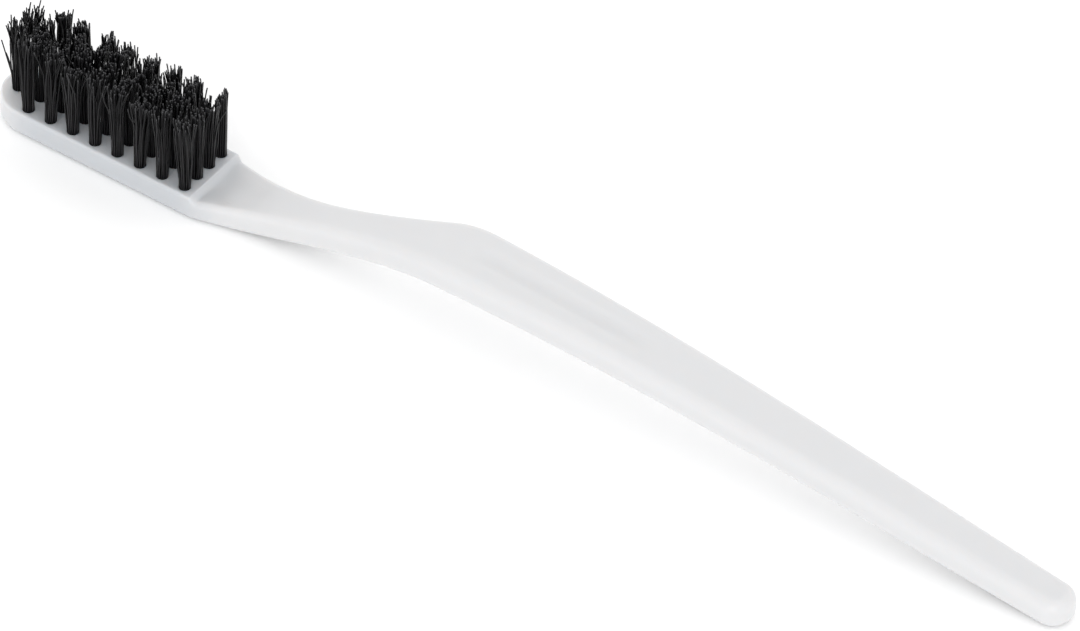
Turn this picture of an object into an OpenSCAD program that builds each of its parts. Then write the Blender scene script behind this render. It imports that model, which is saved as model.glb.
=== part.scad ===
// Nail brush with a toothbrush-style handle: a one-piece moulded handle, and four rows
// of folded bristle tufts, each stapled into its hole by a small flat wire anchor.
//
// Frame: +X runs from the tip of the head to the tail, +Y across, +Z up along the bristles.
// The origin is on the table, under the middle of the brush's length.

/* [Overall] */
// Length from the tip of the head to the end of the tail
overall_l = 169.2; // [156:0.1:180]

/* [Bristle field] */
// Tufts in each of the two inner rows (the outer rows have one fewer)
inner_columns = 9; // [7:1:10]
// Distance between tufts along a row
pitch_x = 3.68; // [3.1:0.02:4]
// Distance between rows
pitch_y = 2.7; // [2.4:0.1:3.2]
// Diameter of a tuft hole
hole_d = 1.7; // [1.4:0.05:1.9]
// Depth of a tuft hole
hole_depth = 3; // [2.7:0.1:3.2]
// Height of the trimmed bristles above the head
bristle_h = 11.8; // [7:0.1:15]
// Gap between the trimmed ends of neighbouring tufts, where they spread
tuft_top_gap = 0.4; // [0.1:0.05:0.6]
// Radial gap between a tuft and its hole
tuft_gap = 0.05; // [0.02:0.01:0.1]

/* [Anchor] */
// How far the flat wire bites into the plastic at each side of the hole
anchor_bite = 0.2; // [0.1:0.05:0.3]
// Thickness of the flat wire
anchor_t = 0.28; // [0.2:0.02:0.36]
// Height of the flat wire
anchor_h = 1.3; // [1:0.05:1.5]
// Height of the wire's lower edge above the bottom of the hole, where the fold fits
anchor_seat = 0.75; // [0.5:0.05:0.9]
// Angle of the wire from straight across the head
anchor_angle = 20; // [0:1:40]

/* [Head] */
// Thickness of the head
head_t = 4; // [3.8:0.1:5]
// Plastic left outside the outermost holes along each side
side_margin = 0.7; // [0.5:0.05:1.2]
// Plastic left outside the last holes at the tip
tip_margin = 1.8; // [1.4:0.05:2.5]
// Plastic left between the last holes and the shoulder
shoulder_margin = 0.9; // [0.6:0.05:1.6]
// Length of the rounded tip, seen from above
tip_round_l = 5.4; // [4.4:0.1:6.5]
// Radius of the lower edge of the head
head_lower_r = 1.25; // [0.6:0.05:1.5]
// Radius of the upper edge of the head
head_upper_r = 0.4; // [0.2:0.05:0.6]

/* [Neck] */
// Length of the hollow slope that steps down from the head to the neck
shoulder_l = 1; // [0.9:0.1:3]
// Drop from the top of the head to the top of the neck
shoulder_drop = 0.6; // [0.3:0.1:1.2]
// Width of the neck at the foot of the slope
root_w = 10.8; // [10:0.1:11]
// Width of the neck at its narrowest
neck_w = 5.9; // [5:0.1:7]
// Distance from the shoulder to the narrowest place
neck_at = 18.5; // [14:0.5:22]
// Length of the shallow hollow behind the shoulder
hollow_l = 9; // [6:0.5:12]
// Width of the hollow
hollow_w = 8.4; // [6:0.1:9]
// Depth of the hollow
hollow_depth = 0.4; // [0.1:0.05:0.6]

/* [Grip] */
// Distance from the shoulder to the crest of the handle
crest_at = 42; // [38:0.5:46]
// Height of the crest above the table
crest_z = 13.2; // [11:0.1:15]
// Width of the grip at the crest
grip_w = 10.6; // [9:0.1:12]
// Thickness of the grip at the crest
grip_t = 4.4; // [3.8:0.1:5]
// Width of the tail before its round end
tail_w = 5.8; // [5:0.1:8]
// Thickness of the tail before its round end
tail_t = 4.4; // [3.6:0.1:5]
// Radius of the long edges of the grip
grip_edge_r = 1.5; // [0.8:0.1:1.7]
// Length of the round end of the tail, seen from above
tail_round_l = 3.2; // [2:0.1:4]

/* [Thumb groove] */
// Length of the shallow groove along the middle of the grip
groove_l = 31; // [20:1:40]
// Width of the groove
groove_w = 3.8; // [3:0.1:6]
// Depth of the groove
groove_depth = 0.5; // [0.1:0.05:0.6]

/* [Hidden] */
$fn = 32;

// Head, worked out from the bristle field that it carries.
outer_row_y = 1.5 * pitch_y;
head_w = 2 * (outer_row_y + hole_d / 2 + side_margin);
head_l = tip_margin + hole_d + (inner_columns - 1) * pitch_x + shoulder_margin;

// Places along X.
tip_x = -overall_l / 2;
tail_x = overall_l / 2;
shoulder_x = tip_x + head_l;
neck_x = shoulder_x + shoulder_l;
waist_x = shoulder_x + neck_at;
crest_x = shoulder_x + crest_at;
bend_l = 6; // length of the bend where the neck turns into the grip
bend_x = crest_x - bend_l;
tail_round_x = tail_x - tail_round_l;

// Heights where the lines of the handle are pinned.
neck_z = head_t - shoulder_drop;
crest_under_z = crest_z - grip_t;
bend_drop = 0.75; // the neck reaches the bend this far under the crest
bend_inset = 0.55; // and this far inside the width of the grip
groove_lead = 2; // the thumb groove begins this far before the crest
tail_round_r = 1.7; // radius of the round end, seen from the side
edge_min = 0.12; // smallest radius of an edge
neck_edge_r = 0.9; // upper edges of the neck at the foot of the shoulder
waist_edge_r = 1.3; // upper edges of the neck at its narrowest

// Slopes of the lines at their pins.
shoulder_slope = -1; // the shoulder falls away steeply and ends level
shoulder_taper = -0.15;
neck_slope = 0.08;
neck_taper = -0.26;
bend_slope = 0.285;
bend_flare = 0.2;
crest_slope = -0.015; // the crest is just past the highest point of the bend
tail_slope = -0.13; // the grip comes down to the table at this slope
grip_taper = (tail_w - grip_w) / 2 / (tail_round_x - crest_x);

// Each line is a list of [x, value, slope], joined by cubic curves.
half_width_line = [
    [shoulder_x, head_w / 2, shoulder_taper],
    [neck_x, root_w / 2, neck_taper],
    [waist_x, neck_w / 2, 0],
    [bend_x, grip_w / 2 - bend_inset, bend_flare],
    [crest_x, grip_w / 2, grip_taper],
    [tail_round_x, tail_w / 2, grip_taper],
];
top_line = [
    [shoulder_x, head_t, shoulder_slope],
    [neck_x, neck_z, neck_slope],
    [bend_x, crest_z - bend_drop, bend_slope],
    [crest_x, crest_z, crest_slope],
    [tail_round_x, tail_t, tail_slope],
];
under_line = [
    [neck_x + 1, 0, 0],
    [bend_x, crest_under_z - bend_drop, bend_slope],
    [crest_x, crest_under_z, crest_slope],
    [tail_round_x, 0, tail_slope],
];
edge_line = [
    [shoulder_x, head_upper_r, 0],
    [neck_x, neck_edge_r, 0],
    [waist_x, waist_edge_r, 0],
    [crest_x, grip_edge_r, 0],
];

// Cubic curve between two pins a and b, each [x, value, slope].
function cubic(a, b, x) =
    let (
        l = b[0] - a[0],
        t = (x - a[0]) / l,
        s = 1 - t
    )
    s * s * (1 + 2 * t) * a[1] + t * t * (3 - 2 * t) * b[1] + l * t * s * (s * a[2] - t * b[2]);

// Value of a line at x, held level beyond its ends.
function on_line(line, x, i = 0) =
    x <= line[0][0] ? line[0][1]
    : i == len(line) - 1 ? line[i][1]
    : x <= line[i + 1][0] ? cubic(line[i], line[i + 1], x)
    : on_line(line, x, i + 1);

// How far a round end of radius r has drawn in at distance d from its very end.
function round_in(r, d) = d >= r ? 0 : r - sqrt(r * r - (r - d) * (r - d));

// Share of the full width at distance d from an end that is rounded over length l.
function round_share(l, d) = d >= l ? 1 : sqrt(1 - pow((l - d) / l, 2));

function half_width(x) =
    on_line(half_width_line, x) * round_share(tip_round_l, x - tip_x)
        * round_share(tail_round_l, tail_x - x);
function top_z(x) =
    on_line(top_line, x) - round_in(head_upper_r, x - tip_x) - round_in(tail_round_r, tail_x - x);
function under_z(x) =
    on_line(under_line, x) + round_in(head_lower_r, x - tip_x) + round_in(tail_round_r, tail_x - x);

// Edge radii are held under what the section at x has room for.
function room(x) = min(half_width(x), (top_z(x) - under_z(x)) / 2) - edge_min;
function upper_edge_r(x) = max(edge_min, min(room(x), on_line(edge_line, x)));
function lower_edge_r(x) = max(edge_min, min(room(x), max(head_lower_r, on_line(edge_line, x))));

// Depth below the top surface at x and y of a smooth dish that begins at from.
function bump(t) = abs(t) >= 1 ? 0 : pow(1 - t * t, 2);
function dish(x, y, from, l, w, depth) =
    depth * bump(pow(2 * (x - from) / l - 1, 3)) * bump(2 * y / w);
function dishes(x, y) =
    dish(x, y, shoulder_x, hollow_l, hollow_w, hollow_depth)
    + dish(x, y, crest_x - groove_lead, groove_l, groove_w, groove_depth);

// One section of the handle at x: an upright ring of points, anticlockwise seen from the tail.
corner_steps = 6;
top_steps = 10;
function corner(y, z, r, from) =
    [for (i = [0:corner_steps]) let (a = from + 90 * i / corner_steps) [y + r * cos(a), z + r * sin(a)]];
function ring(x) =
    let (
        w = half_width(x),
        top = top_z(x),
        under = under_z(x),
        ru = upper_edge_r(x),
        rl = lower_edge_r(x),
        flat = w - ru,
        outline = concat(
            corner(w - rl, under + rl, rl, -90),
            corner(w - ru, top - ru, ru, 0),
            [for (i = [1:top_steps - 1]) let (y = flat * (1 - 2 * i / top_steps)) [y, top - dishes(x, y)]],
            corner(-w + ru, top - ru, ru, 90),
            corner(-w + rl, under + rl, rl, 180)
        )
    )
    [for (p = outline) [x, p[0], p[1]]];

// Stations along the handle: close together where it curves, far apart where it runs straight.
function steps(from, to, n) = [for (i = [0:n - 1]) from + (to - from) * i / n];
tip_steps = 10;
tail_steps = 9;
first_angle = 6; // the very ends are small flats, at this angle into their round
stations = concat(
    [for (i = [0:tip_steps - 1])
        tip_x + tip_round_l * (1 - cos(first_angle + (90 - first_angle) * i / tip_steps))],
    [tip_x + tip_round_l],
    steps(shoulder_x, neck_x, 4),
    steps(neck_x, waist_x, 8),
    steps(waist_x, bend_x, 8),
    steps(bend_x, crest_x + 2, 8),
    steps(crest_x + 2, crest_x + groove_l, 14),
    steps(crest_x + groove_l, tail_round_x, 13),
    [for (i = [tail_steps:-1:0])
        tail_x - tail_round_l * (1 - cos(first_angle + (90 - first_angle) * i / tail_steps))]
);

// Solid skinned over rings that all have the same number of points.
module skin(rings) {
    n = len(rings[0]);
    last = len(rings) - 1;
    sides = [
        for (i = [0:last - 1], j = [0:n - 1])
            let (a = i * n + j, b = i * n + (j + 1) % n)
            [a, a + n, b + n, b],
    ];
    start = [for (j = [0:n - 1]) j];
    end = [for (j = [n - 1:-1:0]) last * n + j];
    polyhedron([for (r = rings) each r], concat([start], sides, [end]));
}

// Rows are named a to d from -Y to +Y; tufts are numbered from the shoulder towards the tip.
ROWS = ["a", "b", "c", "d"];
function columns(row) = row == 0 || row == 3 ? inner_columns - 1 : inner_columns;
function tuft_at(row, i) =
    [shoulder_x - shoulder_margin - hole_d / 2 - i * pitch_x, (row - 1.5) * pitch_y, 0];
hole_z = head_t - hole_depth;
anchor_l = hole_d + 2 * anchor_bite;
anchor_z = hole_z + anchor_seat;
tuft_r = hole_d / 2 - tuft_gap;
tuft_top_r = (min(pitch_x, pitch_y) - tuft_top_gap) / 2;

module hole() {
    translate([0, 0, hole_z])
        cylinder(d = hole_d, h = hole_depth + 1);
}

// Flat wire driven across the hole, its ends bitten into the plastic on both sides.
module anchor() {
    rotate(anchor_angle)
        translate([-anchor_t / 2, -anchor_l / 2, anchor_z])
            cube([anchor_t, anchor_l, anchor_h]);
}

module handle() {
    color("white")
        difference() {
            skin([for (x = stations) ring(x)]);
            for (row = [0:3], i = [0:columns(row) - 1])
                translate(tuft_at(row, i)) {
                    hole();
                    anchor();
                }
        }
}

// Bundle of filaments folded under the anchor: a round fold, a shank in the hole, and a slight flare.
module tuft() {
    fold_z = hole_z + tuft_gap + tuft_r;
    color("#1c1c1e")
        difference() {
            union() {
                translate([0, 0, fold_z])
                    cylinder(r = tuft_r, h = head_t - fold_z);
                intersection() {
                    translate([0, 0, hole_z])
                        cylinder(r = tuft_r, h = hole_depth);
                    translate([0, 0, fold_z])
                        rotate([90, 0, anchor_angle])
                            cylinder(r = tuft_r, h = hole_d, center = true);
                }
                translate([0, 0, head_t])
                    cylinder(r1 = tuft_r, r2 = tuft_top_r, h = bristle_h);
            }
            anchor();
        }
}

module anchors(row) {
    color("#c8a850")
        for (i = [0:columns(row) - 1])
            translate(tuft_at(row, i))
                anchor();
}

function tuft_name(row, i) = str("tuft_", ROWS[row], i + 1);
function anchors_name(row) = str("anchors_", ROWS[row]);

handle();
for (row = [0:3], i = [0:columns(row) - 1])
    translate(tuft_at(row, i)) tuft();
for (row = [0:3])
    anchors(row);
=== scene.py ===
import math
import random

import bpy
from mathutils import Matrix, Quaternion, Vector


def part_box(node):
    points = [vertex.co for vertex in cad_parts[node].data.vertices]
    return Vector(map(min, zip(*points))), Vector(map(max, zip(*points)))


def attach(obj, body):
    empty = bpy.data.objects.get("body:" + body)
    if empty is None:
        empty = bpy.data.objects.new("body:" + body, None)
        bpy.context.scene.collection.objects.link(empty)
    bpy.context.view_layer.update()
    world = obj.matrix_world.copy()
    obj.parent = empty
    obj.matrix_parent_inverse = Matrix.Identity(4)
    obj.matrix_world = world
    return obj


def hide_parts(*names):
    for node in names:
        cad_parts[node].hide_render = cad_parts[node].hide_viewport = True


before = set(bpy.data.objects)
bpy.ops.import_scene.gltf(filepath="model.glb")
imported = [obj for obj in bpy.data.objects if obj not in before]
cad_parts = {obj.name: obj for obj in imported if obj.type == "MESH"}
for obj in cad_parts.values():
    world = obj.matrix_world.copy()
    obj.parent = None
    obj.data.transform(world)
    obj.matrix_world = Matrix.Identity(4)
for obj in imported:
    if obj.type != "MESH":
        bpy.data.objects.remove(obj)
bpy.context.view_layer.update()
bpy.ops.object.select_all(action="DESELECT")


# ---- Handle ----
# One injection moulding of glossy white plastic: the flat head plate, the waisted neck and the
# arched grip. Its lines are smooth curves from the shoulder behind the bristles to the tail,
# and blind bores for the tufts are moulded into the top of the head.
mm = 0.001
handle_lo, handle_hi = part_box("handle")
tip_x, tail_x = handle_lo.x, handle_hi.x
columns = {"a": 8, "b": 9, "c": 9, "d": 8}
tuft_names = [f"tuft_{row}{i + 1}" for row, count in columns.items() for i in range(count)]
tuft_box = {name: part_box(name) for name in tuft_names}
tuft_spot = {name: (lo + hi) / 2 for name, (lo, hi) in tuft_box.items()}

head_t = 4.0 * mm
head_w = 11.2 * mm
hole_r = 0.85 * mm
bore_floor = head_t - 3.0 * mm
anchor_foot = bore_floor + 0.75 * mm
anchor_h = 1.3 * mm
anchor_bite = 0.2 * mm
anchor_half_t = 0.14 * mm
anchor_turn = math.radians(20)
shoulder_x = tuft_spot["tuft_a1"].x + hole_r + 0.9 * mm
neck_x = shoulder_x + 1.0 * mm
waist_x = shoulder_x + 18.5 * mm
crest_x = shoulder_x + 42.0 * mm
bend_x = crest_x - 6.0 * mm
crest_z = handle_hi.z
grip_t = 4.4 * mm
grip_w = 10.6 * mm
tail_w = 5.8 * mm
tip_round_l = 5.4 * mm
tail_round_l = 3.2 * mm
tail_round_r = 1.7 * mm
tail_round_x = tail_x - tail_round_l
head_lower_r = 1.25 * mm
head_upper_r = 0.4 * mm
least_r = 0.1 * mm
least_half_w = 0.22 * mm
hollow_l, hollow_w, hollow_depth = 9 * mm, 8.4 * mm, 0.4 * mm
groove_l, groove_w, groove_depth = 31 * mm, 3.8 * mm, 0.5 * mm
groove_x = crest_x - 2 * mm
taper = (tail_w - grip_w) / 2 / (tail_round_x - crest_x)

# Each line is a row of pins [x, value, slope], joined by cubic curves.
half_width_line = [
    [shoulder_x, head_w / 2, -0.15],
    [neck_x, 5.4 * mm, -0.26],
    [waist_x, 2.95 * mm, 0],
    [bend_x, grip_w / 2 - 0.55 * mm, 0.2],
    [crest_x, grip_w / 2, taper],
    [tail_round_x, tail_w / 2, taper],
]
top_line = [
    [shoulder_x, head_t, -1],
    [neck_x, head_t - 0.6 * mm, 0.08],
    [bend_x, crest_z - 0.75 * mm, 0.285],
    [crest_x, crest_z, -0.015],
    [tail_round_x, 4.4 * mm, -0.13],
]
under_line = [
    [neck_x + 1 * mm, 0, 0],
    [bend_x, crest_z - grip_t - 0.75 * mm, 0.285],
    [crest_x, crest_z - grip_t, -0.015],
    [tail_round_x, 0, -0.13],
]
edge_line = [
    [shoulder_x, head_upper_r, 0],
    [neck_x, 0.9 * mm, 0],
    [waist_x, 1.3 * mm, 0],
    [crest_x, 1.5 * mm, 0],
]


def on_line(line, x):
    """Value of a line at x, held level beyond its ends."""
    if x <= line[0][0]:
        return line[0][1]
    for (x0, v0, m0), (x1, v1, m1) in zip(line, line[1:]):
        if x <= x1:
            length = x1 - x0
            t = (x - x0) / length
            s = 1 - t
            pull = length * t * s * (s * m0 - t * m1)
            return s * s * (1 + 2 * t) * v0 + t * t * (3 - 2 * t) * v1 + pull
    return line[-1][1]


def eased(line, x):
    """The line with its corners rounded off over a tenth of a millimetre, as a mould cutter leaves them."""
    reach = [-0.1, -0.05, 0, 0.05, 0.1]
    return sum(on_line(line, x + d * mm) for d in reach) / len(reach)


def round_in(radius, d):
    """How far a round end of that radius has drawn in at distance d from its very end."""
    if d >= radius:
        return 0
    return radius - math.sqrt(max(0, radius**2 - (radius - d) ** 2))


def round_share(length, d):
    """Share of the full width at distance d from an end that is rounded over that length."""
    if d >= length:
        return 1
    return math.sqrt(max(0, 1 - ((length - d) / length) ** 2))


def bump(t):
    """A smooth hump: 1 in the middle, 0 from one unit away."""
    return 0 if abs(t) >= 1 else (1 - t * t) ** 2


def dish(x, y, start, length, width, depth):
    """Depth of a smooth shallow dish in the top surface."""
    return depth * bump((2 * (x - start) / length - 1) ** 3) * bump(2 * y / width)


corner_steps = 7
top_steps = 16
side_steps = 4


def outline(x):
    """The handle's section at x, as points that run round from the middle of the +Y side."""
    from_tip, from_tail = x - tip_x, tail_x - x
    w = eased(half_width_line, x)
    w *= round_share(tip_round_l, from_tip) * round_share(tail_round_l, from_tail)
    end_in = round_in(tail_round_r, from_tail)
    top = eased(top_line, x) - round_in(head_upper_r, from_tip) - end_in
    under = eased(under_line, x) + round_in(head_lower_r, from_tip) + end_in
    room = min(w, (top - under) / 2) - least_r
    upper_r = max(least_r, min(room, eased(edge_line, x)))
    lower_r = max(least_r, min(room, max(head_lower_r, eased(edge_line, x))))
    w = max(w, least_half_w)

    def arc(side, z, r, start):
        turn = [math.radians(start + 90 * i / corner_steps) for i in range(corner_steps + 1)]
        return [(side * (w - r) + r * math.cos(a), z + r * math.sin(a)) for a in turn]

    def run(a, b, steps):
        shares = [i / steps for i in range(1, steps)]
        return [(a[0] + (b[0] - a[0]) * share, a[1] + (b[1] - a[1]) * share) for share in shares]

    lower_right = arc(1, under + lower_r, lower_r, -90)
    upper_right = arc(1, top - upper_r, upper_r, 0)
    upper_left = arc(-1, top - upper_r, upper_r, 90)
    lower_left = arc(-1, under + lower_r, lower_r, 180)
    across = [
        (y, z - dish(x, y, shoulder_x, hollow_l, hollow_w, hollow_depth)
            - dish(x, y, groove_x, groove_l, groove_w, groove_depth))
        for y, z in run(upper_right[-1], upper_left[0], top_steps)
    ]
    return (
        lower_right
        + run(lower_right[-1], upper_right[0], side_steps)
        + upper_right
        + across
        + upper_left
        + run(upper_left[-1], lower_left[0], side_steps)
        + lower_left
        + run(lower_left[-1], lower_right[0], top_steps)
    )


def spread(start, end, step):
    """Places from start up to but not including end, about a step apart."""
    count = max(1, round((end - start) / step))
    return [start + (end - start) * i / count for i in range(count)]


tip_turn = [math.radians(a) for a in range(4, 90, 6)]
tail_turn = [math.radians(a) for a in range(88, 3, -7)]
stations = (
    [tip_x + tip_round_l * (1 - math.cos(a)) for a in tip_turn]
    + spread(tip_x + tip_round_l, shoulder_x - 0.2 * mm, 2.5 * mm)
    + spread(shoulder_x - 0.2 * mm, shoulder_x + 0.2 * mm, 0.05 * mm)
    + spread(shoulder_x + 0.2 * mm, neck_x + 0.2 * mm, 0.1 * mm)
    + spread(neck_x + 0.2 * mm, neck_x + 2 * mm, 0.3 * mm)
    + spread(neck_x + 2 * mm, bend_x, 0.8 * mm)
    + spread(bend_x, crest_x + 4 * mm, 0.4 * mm)
    + spread(crest_x + 4 * mm, tail_round_x, 1.2 * mm)
    + [tail_x - tail_round_l * (1 - math.cos(a)) for a in tail_turn]
)

# A disc is drawn out into one long bar, ring by ring, and each ring is pressed to its section.
ring_size = len(outline(crest_x))
bar_r = 5 * mm
bpy.ops.mesh.primitive_circle_add(
    vertices=ring_size, radius=bar_r, fill_type="NGON",
    location=(stations[0], 0, bar_r), rotation=(0, math.pi / 2, 0),
)
handle = bpy.context.object
handle.name = "moulded_handle"
bpy.ops.object.transform_apply(location=True, rotation=True, scale=True)
bpy.ops.object.mode_set(mode="EDIT")
bpy.ops.mesh.select_all(action="SELECT")
for here, there in zip(stations, stations[1:]):
    bpy.ops.mesh.extrude_region_move(TRANSFORM_OT_translate={"value": (there - here, 0, 0)})
bpy.ops.object.mode_set(mode="OBJECT")

ring_at = {round(x / mm, 4): outline(x) for x in stations}
places = sorted(ring_at)
for vertex in handle.data.vertices:
    x = min(places, key=lambda place: abs(place - vertex.co.x / mm))
    turn = math.atan2(vertex.co.z - bar_r, vertex.co.y) % (2 * math.pi)
    step = round(turn / (2 * math.pi) * ring_size) % ring_size
    vertex.co.x = x * mm
    vertex.co.y, vertex.co.z = ring_at[x][step]
bpy.ops.object.mode_set(mode="EDIT")
bpy.ops.mesh.select_all(action="SELECT")
bpy.ops.mesh.normals_make_consistent(inside=False)
bpy.ops.object.mode_set(mode="OBJECT")


def cut_out(cutters, name):
    """Joins the cutters, cuts them out of the handle and removes them."""
    bpy.ops.object.select_all(action="DESELECT")
    for piece in cutters:
        piece.select_set(True)
    bpy.context.view_layer.objects.active = cutters[0]
    bpy.ops.object.join()
    tool = bpy.context.object
    bpy.ops.object.select_all(action="DESELECT")
    handle.select_set(True)
    bpy.context.view_layer.objects.active = handle
    cut = handle.modifiers.new(name, "BOOLEAN")
    cut.operation = "DIFFERENCE"
    cut.solver = "EXACT"
    cut.object = tool
    bpy.ops.object.modifier_apply(modifier=name)
    bpy.data.objects.remove(tool)


# Each bore is blind and has a closed slot on both sides, where the ends of its anchor are bitten in.
bore_sides = 28
drill_l = 5 * mm
bores = []
for spot in tuft_spot.values():
    bpy.ops.mesh.primitive_cylinder_add(
        vertices=bore_sides, radius=hole_r, depth=drill_l,
        location=(spot.x, spot.y, bore_floor + drill_l / 2),
    )
    bores.append(bpy.context.object)
cut_out(bores, "bores")
slots = []
for spot in tuft_spot.values():
    bpy.ops.mesh.primitive_cube_add(
        size=1, location=(spot.x, spot.y, anchor_foot + anchor_h / 2), rotation=(0, 0, anchor_turn),
        scale=(2 * anchor_half_t, 2 * (hole_r + anchor_bite), anchor_h),
    )
    slots.append(bpy.context.object)
cut_out(slots, "slots")

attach(handle, "root")
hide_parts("handle")
bpy.ops.object.shade_smooth_by_angle(angle=math.radians(40))


def add_node(tree, kind, place, **settings):
    """Puts a shader node in the tree, sets its properties and its inputs, and returns it."""
    node = tree.nodes.new(kind)
    node.location = place
    for name, value in settings.items():
        if hasattr(node, name):
            setattr(node, name, value)
        else:
            node.inputs[name.replace("_", " ")].default_value = value
    return node


def blank_material(name):
    """A material with an empty tree but for its surface shader."""
    material = bpy.data.materials.new(name)
    material.use_nodes = True
    return material, material.node_tree, material.node_tree.nodes["Principled BSDF"]


# White polypropylene: slightly translucent, a soft gloss, faint flow lines that follow the handle, a
# low waviness from cooling, and fine handling scratches that show only in the gloss. The head carries
# painted shade: its colour is darkened to a cool grey, in place of the light that the black tufts block
# round their bores and the dark tufts seen through the plastic.
plastic, tree, shader = blank_material("white_polypropylene")
shader.inputs["IOR"].default_value = 1.49
shader.inputs["Subsurface Weight"].default_value = 0.8
shader.inputs["Subsurface Radius"].default_value = (1.0, 0.88, 0.8)
shader.inputs["Subsurface Scale"].default_value = 1.3 * mm
place = add_node(tree, "ShaderNodeTexCoord", (-1500, 0))
along = add_node(tree, "ShaderNodeMapping", (-1300, 200), Scale=(60, 500, 500))
flow = add_node(tree, "ShaderNodeTexNoise", (-1100, 300), Scale=1.0, Detail=2.0, Roughness=0.4)
cloud = add_node(tree, "ShaderNodeTexNoise", (-1100, 50), Scale=90.0, Detail=2.0)
tint = add_node(tree, "ShaderNodeMixRGB", (-600, 300), blend_type="MIX")
tint.inputs["Color1"].default_value = (0.625, 0.628, 0.638, 1)
tint.inputs["Color2"].default_value = (0.655, 0.656, 0.662, 1)
blend = add_node(tree, "ShaderNodeMath", (-800, 250), operation="ADD")
half = add_node(tree, "ShaderNodeMath", (-700, 150), operation="MULTIPLY")
half.inputs[1].default_value = 0.5
tree.links.new(place.outputs["Object"], along.inputs["Vector"])
tree.links.new(along.outputs["Vector"], flow.inputs["Vector"])
tree.links.new(place.outputs["Object"], cloud.inputs["Vector"])
tree.links.new(flow.outputs["Fac"], blend.inputs[0])
tree.links.new(cloud.outputs["Fac"], blend.inputs[1])
tree.links.new(blend.outputs[0], half.inputs[0])
tree.links.new(half.outputs[0], tint.inputs["Fac"])
# Painted shade: from a little behind the tip to just past the shoulder, the colour is multiplied by a cool
# grey, which darkens the head where the tufts stand.
split = add_node(tree, "ShaderNodeSeparateXYZ", (-1300, 500))
from_tip = add_node(tree, "ShaderNodeMapRange", (-1100, 600), interpolation_type="SMOOTHSTEP")
from_tip.inputs["From Min"].default_value = tip_x + 1 * mm
from_tip.inputs["From Max"].default_value = tip_x + 9 * mm
from_neck = add_node(tree, "ShaderNodeMapRange", (-1100, 850), interpolation_type="SMOOTHSTEP")
from_neck.inputs["From Min"].default_value = shoulder_x + 6 * mm
from_neck.inputs["From Max"].default_value = shoulder_x - 3 * mm
head_shade_reach = add_node(tree, "ShaderNodeMath", (-800, 600), operation="MULTIPLY")
painted_head_shade = add_node(tree, "ShaderNodeMixRGB", (-350, 400), blend_type="MULTIPLY")
painted_head_shade.inputs["Color2"].default_value = (0.80, 0.825, 0.85, 1)
tree.links.new(place.outputs["Object"], split.inputs["Vector"])
tree.links.new(split.outputs["X"], from_tip.inputs["Value"])
tree.links.new(split.outputs["X"], from_neck.inputs["Value"])
tree.links.new(from_tip.outputs["Result"], head_shade_reach.inputs[0])
tree.links.new(from_neck.outputs["Result"], head_shade_reach.inputs[1])
tree.links.new(head_shade_reach.outputs[0], painted_head_shade.inputs["Fac"])
tree.links.new(tint.outputs["Color"], painted_head_shade.inputs["Color1"])
tree.links.new(painted_head_shade.outputs["Color"], shader.inputs["Base Color"])
scratch_lie = add_node(tree, "ShaderNodeMapping", (-1300, -250), Scale=(90, 3500, 3500))
scratch_lie.inputs["Rotation"].default_value = (0, 0, 0.06)
scratch = add_node(tree, "ShaderNodeTexNoise", (-1100, -250), Scale=1.0, Detail=2.0, Roughness=0.5)
gloss = add_node(tree, "ShaderNodeMapRange", (-800, -250))
gloss.inputs["From Min"].default_value = 0.2
gloss.inputs["From Max"].default_value = 0.8
gloss.inputs["To Min"].default_value = 0.27
gloss.inputs["To Max"].default_value = 0.37
tree.links.new(place.outputs["Object"], scratch_lie.inputs["Vector"])
tree.links.new(scratch_lie.outputs["Vector"], scratch.inputs["Vector"])
tree.links.new(scratch.outputs["Fac"], gloss.inputs["Value"])
tree.links.new(gloss.outputs["Result"], shader.inputs["Roughness"])
peel = add_node(tree, "ShaderNodeTexNoise", (-1100, -550), Scale=1400.0, Detail=2.0)
wavy = add_node(tree, "ShaderNodeTexNoise", (-1100, -800), Scale=170.0, Detail=1.0)
peel_bump = add_node(tree, "ShaderNodeBump", (-600, -550), Strength=0.12, Distance=0.02 * mm)
wavy_bump = add_node(tree, "ShaderNodeBump", (-400, -650), Strength=0.35, Distance=0.12 * mm)
tree.links.new(place.outputs["Object"], peel.inputs["Vector"])
tree.links.new(place.outputs["Object"], wavy.inputs["Vector"])
tree.links.new(peel.outputs["Fac"], peel_bump.inputs["Height"])
tree.links.new(wavy.outputs["Fac"], wavy_bump.inputs["Height"])
tree.links.new(peel_bump.outputs["Normal"], wavy_bump.inputs["Normal"])
tree.links.new(wavy_bump.outputs["Normal"], shader.inputs["Normal"])
handle.data.materials.append(plastic)


# ---- Anchors ----
# Small flat wires of drawn brass, one driven over the fold of each tuft, with its ends bitten into
# the plastic on both sides of the bore. The solids are right as they are and only get their metal.
brass, tree, shader = blank_material("drawn_brass")
shader.inputs["Metallic"].default_value = 1.0
place = add_node(tree, "ShaderNodeTexCoord", (-1300, 0))
lie = add_node(tree, "ShaderNodeMapping", (-1100, 0), Scale=(9000, 300, 9000))
lie.inputs["Rotation"].default_value = (0, 0, -anchor_turn)
lines = add_node(tree, "ShaderNodeTexNoise", (-900, 0), Scale=1.0, Detail=3.0)
tone = add_node(tree, "ShaderNodeMixRGB", (-500, 150))
tone.inputs["Color1"].default_value = (0.58, 0.42, 0.17, 1)
tone.inputs["Color2"].default_value = (0.78, 0.62, 0.33, 1)
polish = add_node(tree, "ShaderNodeMapRange", (-500, -150))
polish.inputs["To Min"].default_value = 0.22
polish.inputs["To Max"].default_value = 0.48
draw_bump = add_node(tree, "ShaderNodeBump", (-300, -300), Strength=0.3, Distance=0.01 * mm)
tree.links.new(place.outputs["Object"], lie.inputs["Vector"])
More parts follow.
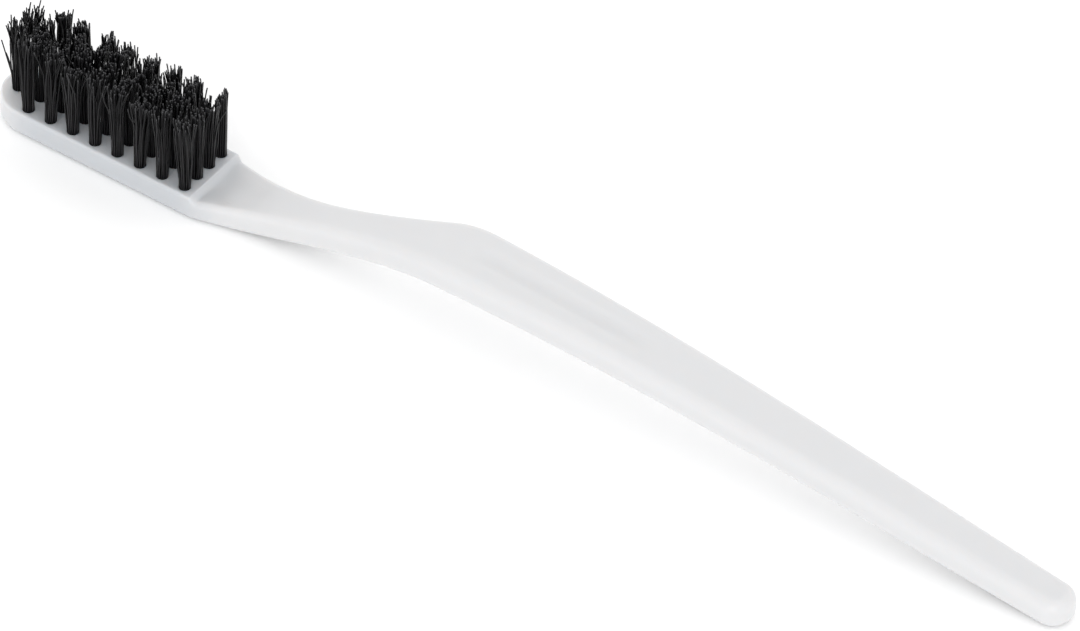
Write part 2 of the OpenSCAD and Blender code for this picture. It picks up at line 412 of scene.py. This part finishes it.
tree.links.new(lie.outputs["Vector"], lines.inputs["Vector"])
tree.links.new(lines.outputs["Fac"], tone.inputs["Fac"])
tree.links.new(lines.outputs["Fac"], polish.inputs["Value"])
tree.links.new(lines.outputs["Fac"], draw_bump.inputs["Height"])
tree.links.new(tone.outputs["Color"], shader.inputs["Base Color"])
tree.links.new(polish.outputs["Result"], shader.inputs["Roughness"])
tree.links.new(draw_bump.outputs["Normal"], shader.inputs["Normal"])
for row in columns:
    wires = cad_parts[f"anchors_{row}"]
    wires.data.materials.clear()
    wires.data.materials.append(brass)


# ---- Bristle tufts ----
# Each tuft is a bundle of black nylon filaments. Every filament is one strand folded under the
# anchor, so it shows two cut ends. The bundle fills its bore and fans out above it; use has bent
# and tangled the tops, so the ends stand at different heights and cross each other.
random.seed(34)
strand_r = 0.1 * mm
strand_sides = 5
slack = 0.005 * mm
row_pitch = 1.7 * strand_r
bristle_top = head_t + 11.4 * mm
bristle_limit = head_t + 12.2 * mm
side_limit = 5.75 * mm
# Share of the way up a leg at each ring: beside the anchor, clear of it, at the rim, up to the cut end.
leg_rings = [0, 0.1, 0.175, 0.5, 0.74, 0.89, 1]
ring_count = 2 * len(leg_rings) + 1

# How a leg bends: a push that leans it, a bow in its middle and a hook at its end, which is strong
# on every fourth leg or so. Each grows up the leg by its own curve.
push_size = 0.2 * mm
bow_size = 0.14 * mm
hook_size = 0.36 * mm
strong_hook_size = 0.75 * mm
strong_hook_share = 0.25
fan_curve, push_curve, hook_curve = 0.8, 1.4, 1.8
hook_start = 0.5

# One straight strand is drawn out of a disc, and a copy of it is laid along each filament's path.
ring_gap = 1 * mm
bpy.ops.mesh.primitive_circle_add(vertices=strand_sides, radius=strand_r, fill_type="NGON")
strand = bpy.context.object
bpy.ops.object.mode_set(mode="EDIT")
bpy.ops.mesh.select_all(action="SELECT")
for ring in range(1, ring_count):
    bpy.ops.mesh.extrude_region_move(TRANSFORM_OT_translate={"value": (0, 0, ring_gap)})
bpy.ops.mesh.select_all(action="SELECT")
bpy.ops.mesh.normals_make_consistent(inside=False)
bpy.ops.object.mode_set(mode="OBJECT")
bpy.ops.object.shade_smooth_by_angle(angle=math.radians(75))
strand.data.attributes.new("cut_and_tone", "FLOAT_COLOR", "POINT")


def any_way(size):
    """A sideways push of about that size in any direction."""
    return Vector((random.gauss(0, size), random.gauss(0, size), 0))


def leg(out, side, lean, height, fan, wear):
    """Centre line of one leg, from the anchor to its cut end, in the tuft's own frame.

    The rows stand apart at the anchor and close up above it into one round bundle.
    """
    closed = 1.45 * out - math.copysign(0.215 * mm, out)
    fan *= random.uniform(1 - 0.6 * wear, 1 + 0.6 * wear)
    spread_by = Vector((closed * fan, side * fan, 0))
    push = lean + any_way(push_size) * wear
    bow = any_way(bow_size) * wear
    hook = any_way(hook_size) * wear
    if random.random() < strong_hook_share:
        hook += any_way(strong_hook_size) * wear
    line = []
    for share in leg_rings:
        z = anchor_foot + (height - anchor_foot) * share
        up = max(0, (z - head_t) / (height - head_t))
        root = out if share <= 0.1 else closed
        curl = max(0, (up - hook_start) / (1 - hook_start)) ** hook_curve
        line.append(
            Vector((root, side, z)) + spread_by * up**fan_curve + push * up**push_curve
            + bow * math.sin(math.pi * up) + hook * curl
        )
    return line


def filament(out, side, leans, heights, fan, wear):
    """Centre line and section turn of a folded filament, from one cut end to the other."""
    left = leg(-out, side, leans[0], heights[0], fan, wear)
    right = leg(out, side, leans[1], heights[1], fan, wear)
    fold = (Vector((0, side, anchor_foot - 0.8 * out)), math.pi / 2)
    return [(point, 0) for point in reversed(left)] + [fold] + [(point, math.pi) for point in right]


def lay_strand(spot, path, tone):
    """Copies the straight strand, lays the copy along the path and returns it."""
    laid = strand.copy()
    laid.data = strand.data.copy()
    bpy.context.scene.collection.objects.link(laid)
    turned = Vector((math.cos(anchor_turn), math.sin(anchor_turn)))
    last = len(path) - 1
    for vertex, mark in zip(laid.data.vertices, laid.data.attributes["cut_and_tone"].data):
        ring = round(vertex.co.z / ring_gap)
        centre, turn = path[ring]
        x = centre.x + vertex.co.x * math.cos(turn)
        y = centre.y + vertex.co.y
        world_y = spot.y + x * turned.y + y * turned.x
        vertex.co = (
            spot.x + x * turned.x - y * turned.y,
            max(-side_limit, min(side_limit, world_y)),
            centre.z + vertex.co.x * math.sin(turn),
        )
        mark.color = (1.0 if ring in (0, last) else 0.0, tone, 0, 1)
    return laid


# Places of the strands in a tuft: rows beside the anchor, packed like round rods in the bore.
usable_r = hole_r - strand_r - slack
strand_spots = []
for i in range(3):
    out = anchor_half_t + strand_r + slack + row_pitch * i
    reach = math.sqrt(usable_r**2 - out**2)
    count = int(reach / strand_r) + 1
    strand_spots += [(out, (j - (count - 1) / 2) * 2 * strand_r) for j in range(count)]

nylon, tree, shader = blank_material("black_nylon")
shader.inputs["IOR"].default_value = 1.53
shader.inputs["Specular IOR Level"].default_value = 0.25
marks = add_node(tree, "ShaderNodeAttribute", (-1100, 200), attribute_name="cut_and_tone")
parts = add_node(tree, "ShaderNodeSeparateColor", (-900, 200))
dye = add_node(tree, "ShaderNodeMixRGB", (-600, 300))
dye.inputs["Color1"].default_value = (0.0015, 0.0015, 0.002, 1)
dye.inputs["Color2"].default_value = (0.016, 0.0155, 0.017, 1)
# The cut ends get a lighter dark grey: partly the matte cut face's own colour, partly a painted highlight
# where the ends catch the light.
cut_end = add_node(tree, "ShaderNodeMath", (-600, 100), operation="POWER")
cut_end.inputs[1].default_value = 6.0
cut_face_and_highlight = add_node(tree, "ShaderNodeMixRGB", (-350, 300))
cut_face_and_highlight.inputs["Color2"].default_value = (0.05, 0.05, 0.053, 1)
place = add_node(tree, "ShaderNodeTexCoord", (-1300, -200))
grain_lie = add_node(tree, "ShaderNodeMapping", (-1100, -200), Scale=(5000, 5000, 400))
grain = add_node(tree, "ShaderNodeTexNoise", (-900, -200), Scale=1.0, Detail=3.0)
gloss = add_node(tree, "ShaderNodeMapRange", (-600, -100))
gloss.inputs["To Min"].default_value = 0.24
gloss.inputs["To Max"].default_value = 0.5
grain_bump = add_node(tree, "ShaderNodeBump", (-400, -300), Strength=0.25, Distance=0.01 * mm)
tree.links.new(marks.outputs["Color"], parts.inputs["Color"])
tree.links.new(parts.outputs["Green"], dye.inputs["Fac"])
tree.links.new(dye.outputs["Color"], cut_face_and_highlight.inputs["Color1"])
tree.links.new(parts.outputs["Red"], cut_end.inputs[0])
tree.links.new(cut_end.outputs[0], cut_face_and_highlight.inputs["Fac"])
tree.links.new(cut_face_and_highlight.outputs["Color"], shader.inputs["Base Color"])
tree.links.new(place.outputs["Object"], grain_lie.inputs["Vector"])
tree.links.new(grain_lie.outputs["Vector"], grain.inputs["Vector"])
tree.links.new(grain.outputs["Fac"], gloss.inputs["Value"])
tree.links.new(gloss.outputs["Result"], shader.inputs["Roughness"])
tree.links.new(grain.outputs["Fac"], grain_bump.inputs["Height"])
tree.links.new(grain_bump.outputs["Normal"], shader.inputs["Normal"])

# The far row has been pushed towards the tip and worn a little lower. Its first tuft is worn to a
# slant, and three filaments have sprung out of the tuft at the very tip: [lean x, lean y, height].
sprung = [(-1.3, -0.2, 7.0), (-0.3, -0.2, 7.2), (-0.9, 0.2, 5.2)]
field_length = tuft_spot["tuft_b1"].x - tuft_spot["tuft_b9"].x
lean_size = 0.3 * mm
tilt_size = 0.3
level_fall = 0.5 * mm
level_size = 0.18 * mm
rough_size = 0.4 * mm
for name in tuft_names:
    spot = tuft_spot[name]
    lean, tilt = any_way(lean_size), any_way(tilt_size)
    level = bristle_top - level_fall * (spot.x - tuft_spot["tuft_b9"].x) / field_length
    level += random.gauss(0, level_size)
    fan, wear, slant = 0.5, 0.9, 0
    if name == "tuft_d1":
        lean, tilt = Vector((0, 0, 0)), Vector((0, 0, 0))
        fan, wear, slant = 0.12, 0.15, 1.6
        level = bristle_top + 0.2 * mm
    elif name.startswith("tuft_d"):
        lean.x -= 0.5 * mm
        level -= 0.4 * mm
        fan, wear = 0.3, 0.6
    laid = []
    for i, (out, side) in enumerate(strand_spots):
        leans = [lean, lean]
        heights = []
        for end in (-1, 1):
            low = slant * (hole_r - 0.9 * end * out - 0.3 * side)
            height = level + tilt.x * end * out + tilt.y * side - low
            height += random.gauss(0, rough_size) * wear
            heights.append(min(bristle_limit, height))
        if name == "tuft_b9" and i >= len(strand_spots) - len(sprung):
            x, y, z = sprung[len(strand_spots) - 1 - i]
            leans[0] = Vector((x * mm, y * mm, 0))
            heights[0] = head_t + z * mm
        path = filament(out, side, leans, heights, fan, wear)
        laid.append(lay_strand(spot, path, random.random() ** 2))
    bpy.ops.object.select_all(action="DESELECT")
    for piece in laid:
        piece.select_set(True)
    bpy.context.view_layer.objects.active = laid[0]
    bpy.ops.object.join()
    bundle = bpy.context.object
    bundle.name = f"bristles_{name[5:]}"
    bundle.data.materials.clear()
    bundle.data.materials.append(nylon)
    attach(bundle, "root")
    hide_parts(name)
bpy.data.objects.remove(strand)


# ---- Studio ----
# A pale floor under the brush, even white light all round, and a low soft box at the near side,
# which makes the near flank of the handle a little brighter than its top.
bpy.ops.mesh.primitive_plane_add(size=4.0, location=(0, 0, 0))
floor = bpy.context.object
floor.name = "floor"
paper, tree, shader = blank_material("pale_paper")
shader.inputs["Base Color"].default_value = (0.97, 0.97, 0.97, 1)
shader.inputs["Roughness"].default_value = 0.9
shader.inputs["Specular IOR Level"].default_value = 0.1
floor.data.materials.append(paper)

world = bpy.data.worlds.new("studio")
bpy.context.scene.world = world
world.use_nodes = True
world.node_tree.nodes["Background"].inputs["Color"].default_value = (1.0, 1.0, 1.0, 1)
world.node_tree.nodes["Background"].inputs["Strength"].default_value = 1.17


def soft_light(name, place, size, power):
    """A square soft box that faces the brush."""
    data = bpy.data.lights.new(name, "AREA")
    data.size = size
    data.energy = power
    lamp = bpy.data.objects.new(name, data)
    bpy.context.scene.collection.objects.link(lamp)
    lamp.location = place
    lamp.rotation_mode = "QUATERNION"
    lamp.rotation_quaternion = Vector(place).to_track_quat("Z", "Y")


soft_light("near_side", (0.6, -1.1, 0.45), 0.6, 3.5)

# The camera has a long lens and looks down at the middle of the brush from its near side.
azimuth, elevation, roll = math.radians(33.01), math.radians(42.80), math.radians(2.53)
distance = 1.385
aim = Vector((-2.9 * mm, 7.1 * mm, 0))
back = Vector((
    math.sin(azimuth) * math.cos(elevation),
    -math.cos(azimuth) * math.cos(elevation),
    math.sin(elevation),
))
camera_data = bpy.data.cameras.new("camera")
camera_data.lens = 351.7
camera_data.clip_end = 20
camera = bpy.data.objects.new("camera", camera_data)
bpy.context.scene.collection.objects.link(camera)
camera.location = aim + back * distance
camera.rotation_mode = "QUATERNION"
camera.rotation_quaternion = back.to_track_quat("Z", "Y") @ Quaternion((0, 0, 1), roll)
bpy.context.scene.camera = camera
bpy.context.scene.view_settings.view_transform = "Standard"
